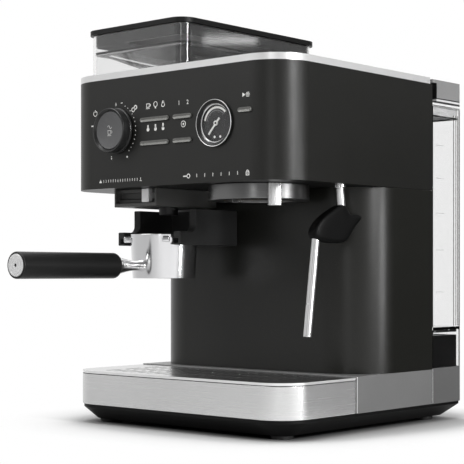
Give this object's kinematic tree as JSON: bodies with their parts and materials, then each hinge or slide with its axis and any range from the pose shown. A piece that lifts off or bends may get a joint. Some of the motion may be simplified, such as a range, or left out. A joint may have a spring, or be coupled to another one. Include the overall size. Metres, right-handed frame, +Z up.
{
  "type": "espresso machine",
  "caption": "Free-standing espresso machine with a built-in burr grinder, bean hopper, pressure gauge, steam wand, portafilter, drip tray and rear water tank.",
  "frame": {"origin": "middle of the footprint between the portafilter handle's end and the back of the tank, on the counter", "axes": "+X to the machine's right seen from the front, +Y to the back, +Z up"},
  "size_m": [0.2974, 0.4456, 0.414],
  "materials": {
    "black_shell": "fine textured black paint",
    "black_plastic": "matt moulded",
    "brushed_steel": "brushed along the sheet",
    "grey_base": "satin grey",
    "silver_trim": "satin anodised",
    "chrome": "polished",
    "steel": "plain",
    "cast": "as cast",
    "brass": "turned",
    "rubber": "matt",
    "silicone": "silk matt",
    "hose": "translucent silicone",
    "smoke_clear": "clear smoked moulding",
    "tank_clear": "clear moulding",
    "lid_black": "gloss edge",
    "tank_lid_grey": "satin grey",
    "knob_grey": "soft matt",
    "button_silver": "metallic paint",
    "dial_black": "printed face",
    "needle_white": "painted",
    "lens": "polished",
    "board_green": "circuit board",
    "collar_dark": "dark anodised"
  },
  "bodies": {
    "machine": {"base_pan": "black_plastic", "feet": "rubber", "rear_base_cover": "grey_base", "column_shell": "black_shell", "head_shell": "black_shell", "head_floor": "black_plastic", "rear_cover": "black_plastic", "case_screws": "steel", "top_trim": "silver_trim", "top_plate": "brushed_steel", "control_board": "board_green", "gauge_case": "dial_black", "gauge_bezel": "chrome", "gauge_lens": "lens", "burr_housing": "cast", "grinder_motor": "steel", "grind_block": "black_plastic", "portafilter_cradle": "black_plastic", "group_head": "brass", "group_gasket": "rubber", "shower_screen": "steel", "boiler": "cast", "water_pump": "black_plastic", "solenoid_valve": "black_plastic", "hoses": "hose", "wand_socket": "chrome", "tank_dock": "grey_base", "cord_gland": "black_plastic", "tank_plinth": "black_plastic"},
    "knob": {"control_knob": "black_plastic", "knob_face": "knob_grey"},
    "needle": {"gauge_needle": "needle_white"},
    "size_slider": {"grind_slider": "silver_trim"},
    "burr_ring": {"outer_burr": "steel"},
    "burr": {"burr_gear": "steel", "burr_cone": "steel"},
    "pinion": {"motor_pinion": "brass"},
    "collar": {"lock_collar": "collar_dark", "collar_tab": "silver_trim"},
    "hopper": {"hopper_body": "smoke_clear", "hopper_funnel": "smoke_clear"},
    "hopper_cover": {"hopper_lid": "lid_black"},
    "portafilter": {"portafilter_body": "chrome", "filter_basket": "steel", "portafilter_neck": "chrome", "portafilter_grip": "black_plastic", "grip_end_cap": "steel"},
    "wand": {"wand_tube": "chrome", "wand_tip": "chrome", "wand_grip": "silicone"},
    "tray": {"drip_tray": "brushed_steel"},
    "grid": {"drip_grid": "brushed_steel"},
    "tank": {"tank_body": "tank_clear", "tank_valve": "black_plastic"},
    "tank_cover": {"tank_lid": "tank_lid_grey"},
    "drink_button_body": {"drink_button": "button_silver"},
    "temperature_button_body": {"temperature_button": "button_silver"},
    "cup_button_body": {"cup_button": "button_silver"},
    "program_button_body": {"program_button": "button_silver"},
    "start_button_body": {"start_button": "button_silver"}
  },
  "joints": [
    {"name": "knob_turn", "type": "hinge", "parent": "machine", "child": "knob", "pos_m": [-0.069, -0.0852, 0.3026], "axis": [0, 1, 0], "range_deg": [-140, 140]},
    {"name": "drink_button_press", "type": "slide", "parent": "machine", "child": "drink_button_body", "axis": [0, 1, 0], "range_m": [0, 0.0015], "stiffness_N_per_m": 600, "springref_m": -0.001},
    {"name": "temperature_button_press", "type": "slide", "parent": "machine", "child": "temperature_button_body", "axis": [0, 1, 0], "range_m": [0, 0.0015], "stiffness_N_per_m": 600, "springref_m": -0.001},
    {"name": "cup_button_press", "type": "slide", "parent": "machine", "child": "cup_button_body", "axis": [0, 1, 0], "range_m": [0, 0.0015], "stiffness_N_per_m": 600, "springref_m": -0.001},
    {"name": "program_button_press", "type": "slide", "parent": "machine", "child": "program_button_body", "axis": [0, 1, 0], "range_m": [0, 0.0015], "stiffness_N_per_m": 600, "springref_m": -0.001},
    {"name": "start_button_press", "type": "slide", "parent": "machine", "child": "start_button_body", "axis": [0, 1, 0], "range_m": [0, 0.0015], "stiffness_N_per_m": 600, "springref_m": -0.001},
    {"name": "needle_turn", "type": "hinge", "parent": "machine", "child": "needle", "pos_m": [0.0665, -0.0852, 0.301], "axis": [0, 1, 0], "range_deg": [0, 265], "stiffness_Nm_per_rad": 0.0002, "springref_deg": -11.46},
    {"name": "grind_size_slide", "type": "slide", "parent": "machine", "child": "size_slider", "axis": [1, 0, 0], "range_m": [-0.0387, 0.0077]},
    {"name": "outer_burr_turn", "type": "hinge", "parent": "machine", "child": "burr_ring", "pos_m": [-0.0635, 0.0528, 0.27], "axis": [0, 0, 1], "range_deg": [-45, 10]},
    {"name": "burr_spin", "type": "hinge", "parent": "machine", "child": "burr", "pos_m": [-0.0635, 0.0528, 0.27], "axis": [0, 0, 1], "continuous": true},
    {"name": "motor_spin", "type": "hinge", "parent": "machine", "child": "pinion", "pos_m": [-0.0635, 0.1158, 0.27], "axis": [0, 0, 1], "continuous": true},
    {"name": "lock_collar_turn", "type": "hinge", "parent": "machine", "child": "collar", "pos_m": [0.067, -0.0212, 0.2445], "axis": [0, 0, 1], "range_deg": [-114, 0]},
    {"name": "hopper_lift", "type": "slide", "parent": "machine", "child": "hopper", "axis": [0, 0, 1], "range_m": [0, 0.06]},
    {"name": "hopper_lid_lift", "type": "slide", "parent": "hopper", "child": "hopper_cover", "axis": [0, 0, 1], "range_m": [0, 0.08]},
    {"name": "portafilter_slide", "type": "slide", "parent": "machine", "child": "portafilter", "axis": [0, -1, 0], "range_m": [0, 0.11]},
    {"name": "wand_swivel", "type": "hinge", "parent": "machine", "child": "wand", "pos_m": [0.137, 0.0188, 0.2445], "axis": [0, 0, 1], "range_deg": [-25, 75]},
    {"name": "drip_tray_slide", "type": "slide", "parent": "machine", "child": "tray", "axis": [0, -1, 0], "range_m": [0, 0.11]},
    {"name": "drip_grid_lift", "type": "slide", "parent": "tray", "child": "grid", "axis": [0, 0, 1], "range_m": [0, 0.03]},
    {"name": "tank_lift", "type": "slide", "parent": "machine", "child": "tank", "axis": [0, 0, 1], "range_m": [0, 0.12]},
    {"name": "tank_lid_hinge", "type": "hinge", "parent": "tank", "child": "tank_cover", "pos_m": [0, 0.2226, 0.3343], "axis": [-1, 0, 0], "range_deg": [0, 90]}
  ],
  "couplings": [
    {"joint": "outer_burr_turn", "follows": "grind_size_slide", "rad_per_m": 20},
    {"joint": "motor_spin", "follows": "burr_spin", "ratio": -6}
  ]
}
